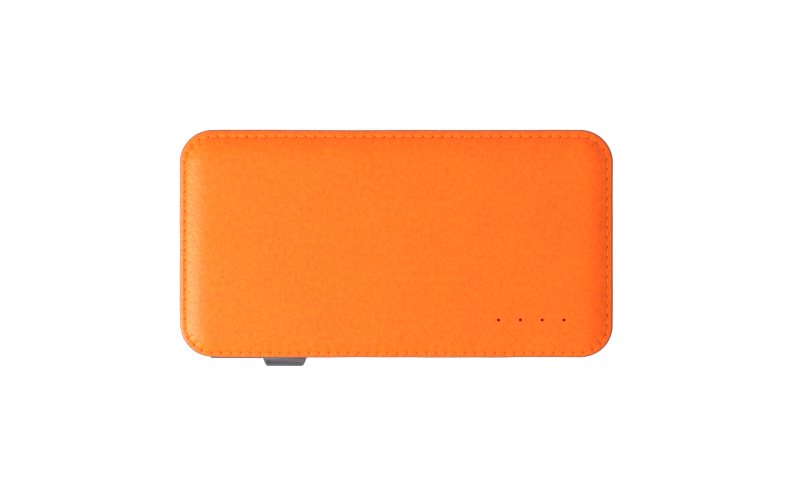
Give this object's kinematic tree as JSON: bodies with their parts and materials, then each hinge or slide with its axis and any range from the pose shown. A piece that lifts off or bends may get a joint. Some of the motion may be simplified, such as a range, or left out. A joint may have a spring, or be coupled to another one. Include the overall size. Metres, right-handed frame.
{
  "type": "power bank",
  "caption": "Slim power bank between padded, edge-stitched leather covers, with a flat charging cable that clips into its long side.",
  "frame": {"origin": "middle of the back cover's flat crown, the face that it rests on", "axes": "+X towards the socket end, -Y the long side with the charging cable, +Z out of the front cover with the charge lights"},
  "size_m": [0.138, 0.0754, 0.017],
  "materials": {
    "orange_leather": "fine grained, satin",
    "orange_thread": "waxed thread",
    "fibre_board": "matte, cut edge",
    "foam": "closed-cell foam",
    "grey_plastic": "fine satin texture",
    "dark_plastic": "matte",
    "cable_rubber": "soft satin",
    "steel_screws": "zinc plated",
    "nickel_shell": "nickel plated",
    "pouch_foil": "satin laminate",
    "tape": "polyimide film",
    "grey_foam": "foam rubber",
    "circuit_board": "solder mask",
    "black_plastic": "matte",
    "red_insulation": "satin",
    "black_insulation": "satin",
    "ferrite": "sintered",
    "ceramic": "glazed",
    "led_lens": "clear lens",
    "red_acrylic": "polished, tinted dark red",
    "white_plastic": "matte",
    "gold_contact": "gold plated",
    "brown_plunger": "matte"
  },
  "bodies": {
    "housing": {"front_leather": "orange_leather", "front_padding": "foam", "front_edge_band": "fibre_board", "front_stitching": "orange_thread", "back_leather": "orange_leather", "back_padding": "foam", "back_edge_band": "fibre_board", "back_stitching": "orange_thread", "side_frame": "grey_plastic", "front_lid": "dark_plastic", "back_lid": "dark_plastic", "lid_screws": "steel_screws", "cable_tray": "grey_plastic", "front_cell": "pouch_foil", "back_cell": "pouch_foil", "cell_tape": "tape", "cell_pads": "grey_foam", "cell_tabs": "pouch_foil", "protection_board": "circuit_board", "protection_chips": "black_plastic", "positive_lead": "red_insulation", "negative_lead": "black_insulation", "main_board": "circuit_board", "board_screws": "steel_screws", "power_inductor": "ferrite", "board_chips": "black_plastic", "board_capacitors": "ceramic", "charge_leds": "led_lens", "light_guide": "red_acrylic", "usb_a_shell": "nickel_shell", "usb_a_tongue": "white_plastic", "usb_a_contacts": "gold_contact", "micro_usb_shell": "nickel_shell", "micro_usb_tongue": "black_plastic", "micro_usb_contacts": "gold_contact", "switch_body": "black_plastic", "cable_boot": "cable_rubber", "cable_leads": "red_insulation"},
    "cable": {"flat_cable": "cable_rubber", "plug_overmould": "grey_plastic", "plug_shell": "nickel_shell", "plug_insert": "black_plastic", "plug_latches": "nickel_shell"},
    "plug_cap": {"plug_cap": "grey_plastic"},
    "power_button": {"power_button": "grey_plastic", "switch_plunger": "brown_plunger"}
  },
  "joints": [
    {"name": "cable_swing", "type": "hinge", "parent": "housing", "child": "cable", "pos_m": [0.042, -0.0341, 0.0085], "axis": [0, 0, 1], "range_deg": [0, 90]},
    {"name": "cap_pull", "type": "slide", "parent": "cable", "child": "plug_cap", "axis": [-1, 0, 0], "range_m": [0, 0.0055]},
    {"name": "button_press", "type": "slide", "parent": "housing", "child": "power_button", "axis": [-1, 0, 0], "range_m": [0, 0.00035], "stiffness_N_per_m": 200, "springref_m": -0.001}
  ]
}
